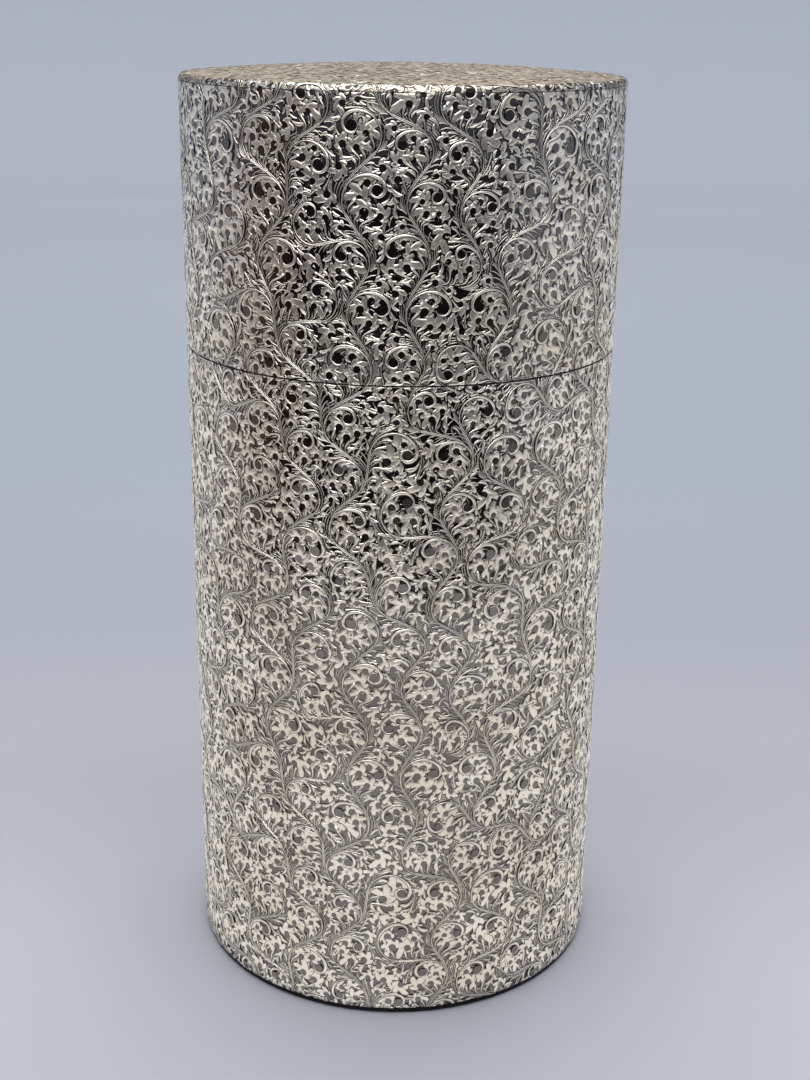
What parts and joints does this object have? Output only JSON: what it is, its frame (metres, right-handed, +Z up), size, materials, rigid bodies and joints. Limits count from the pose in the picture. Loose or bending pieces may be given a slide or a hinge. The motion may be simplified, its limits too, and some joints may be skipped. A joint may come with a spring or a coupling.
{
  "type": "tea canister",
  "caption": "Tall round tea canister in silver-coloured metal with scrolling leaf engraving all over, a slip-over cap and a lift-out inner lid with a knob.",
  "frame": {"origin": "centre of the foot, on the surface that the canister stands on", "axes": "+Z up along the can's axis, front towards -Y, the skins' vertical joints towards +Y"},
  "size_m": [0.076, 0.076, 0.163],
  "materials": {
    "engraved_silver": "bright silver-coloured metal, engraved all over, darkened in the hollows of the engraving",
    "tinned_steel": "plain satin tinned sheet",
    "blackened_steel": "dark, slightly glossy",
    "polished_knob": "turned and polished, silver-coloured plating",
    "solder_grey": "dull soldered strip"
  },
  "bodies": {
    "can": {"foot_ring": "blackened_steel", "base_plate": "blackened_steel", "body_skin": "engraved_silver", "body_seam_strap": "solder_grey", "liner_wall": "tinned_steel", "liner_floor": "tinned_steel", "body_collar": "tinned_steel"},
    "cap": {"cap_skin": "engraved_silver", "cap_seam_strap": "solder_grey", "cap_top": "engraved_silver", "cap_sleeve": "tinned_steel", "cap_ceiling": "tinned_steel"},
    "inner_lid": {"inner_lid_plate": "tinned_steel", "inner_lid_knob": "polished_knob", "knob_washer": "tinned_steel"}
  },
  "joints": [
    {"name": "cap_lift", "type": "slide", "parent": "can", "child": "cap", "axis": [0, 0, 1], "range_m": [0, 0.11]},
    {"name": "inner_lid_lift", "type": "slide", "parent": "can", "child": "inner_lid", "axis": [0, 0, 1], "range_m": [0, 0.0495]}
  ],
  "couplings": [
    {"joint": "inner_lid_lift", "follows": "cap_lift", "ratio": 0.45}
  ]
}
